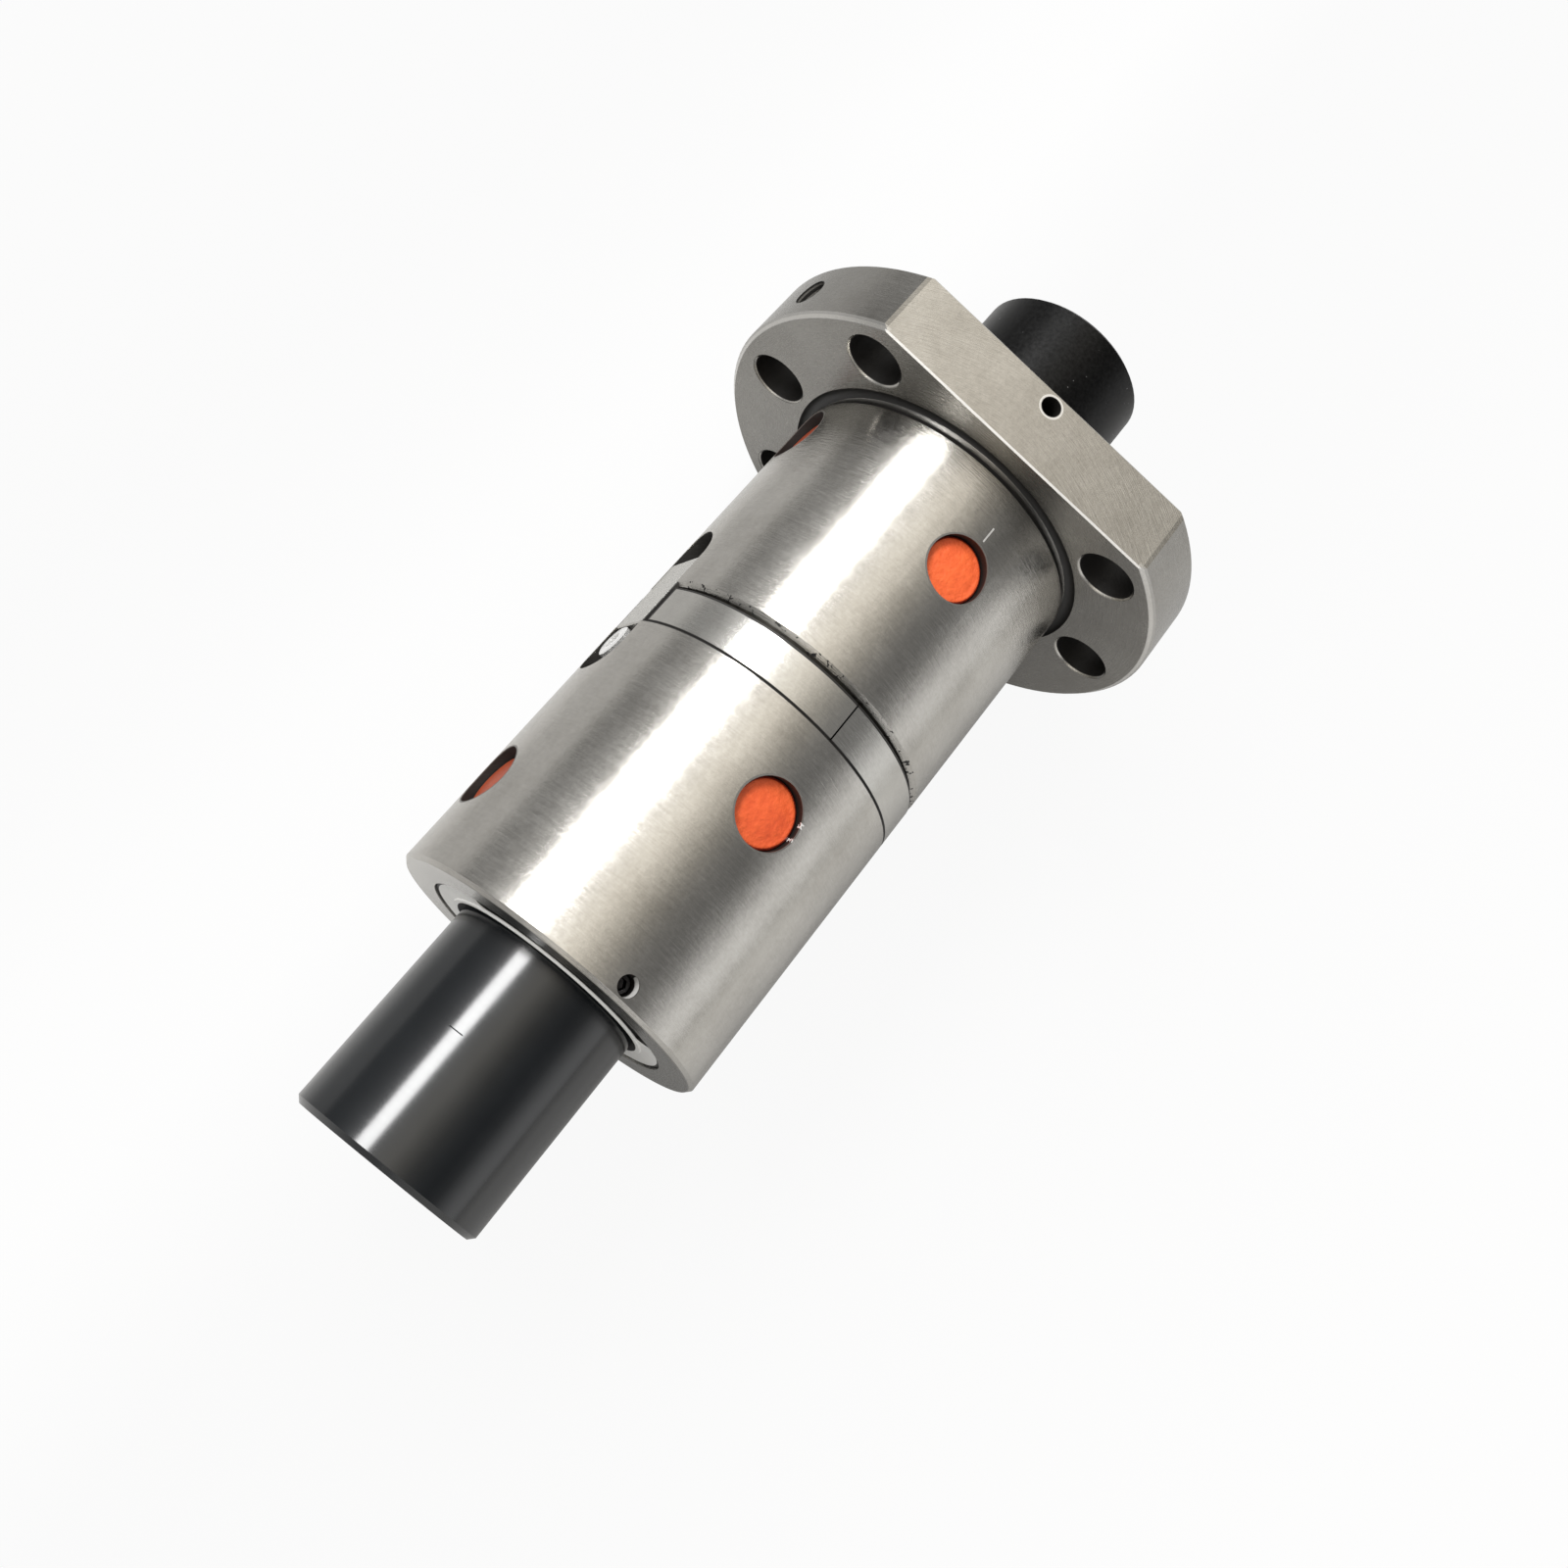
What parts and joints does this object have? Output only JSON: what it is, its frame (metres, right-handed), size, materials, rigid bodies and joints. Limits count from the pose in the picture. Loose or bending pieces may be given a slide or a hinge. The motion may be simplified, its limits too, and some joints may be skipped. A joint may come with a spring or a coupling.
{
  "type": "ball screw nut",
  "caption": "Preloaded double ball nut for a ball screw: flanged nut, plain rear nut, split spacer, key and sealed ball returns, carried on a plastic arbor tube.",
  "frame": {"origin": "on the nut axis, in the face of the flange that bolts against the housing", "axes": "+X along the nut axis from the rear nut towards the flange's outer face; +Z square to the flat on the flange that faces up in the picture; +Y completes the right-handed frame"},
  "size_m": [0.1617, 0.08, 0.062],
  "materials": {
    "ground_steel": "ground",
    "spacer_steel": "ground",
    "shim_steel": "turned",
    "key_steel": "milled",
    "screw_steel": "plated",
    "button_steel": "sintered",
    "ball_steel": "polished",
    "plug_plastic": "moulded",
    "wiper_plastic": "turned",
    "arbor_plastic": "extruded"
  },
  "bodies": {
    "nut": {"flange_nut": "ground_steel", "rear_nut": "ground_steel", "spacer_half_ring": "spacer_steel", "spacer_upper_segment": "spacer_steel", "spacer_lower_segment": "spacer_steel", "preload_shim": "shim_steel", "nut_key": "key_steel", "key_screw": "screw_steel", "flange_wiper": "wiper_plastic", "rear_wiper": "wiper_plastic", "flange_wiper_screw": "screw_steel", "rear_wiper_screw": "screw_steel", "return_button_1": "button_steel", "return_button_2": "button_steel", "return_button_3": "button_steel", "return_button_4": "button_steel", "return_button_5": "button_steel", "return_button_6": "button_steel", "seal_plug_1": "plug_plastic", "seal_plug_2": "plug_plastic", "seal_plug_3": "plug_plastic", "seal_plug_4": "plug_plastic", "seal_plug_5": "plug_plastic", "seal_plug_6": "plug_plastic", "ball_circuit_1": "ball_steel", "ball_circuit_2": "ball_steel", "ball_circuit_3": "ball_steel", "ball_circuit_4": "ball_steel", "ball_circuit_5": "ball_steel", "ball_circuit_6": "ball_steel"},
    "arbor": {"arbor_tube": "arbor_plastic"}
  },
  "joints": [
    {"name": "arbor_slide", "type": "slide", "parent": "nut", "child": "arbor", "axis": [1, 0, 0], "range_m": [-0.026, 0.031]}
  ]
}
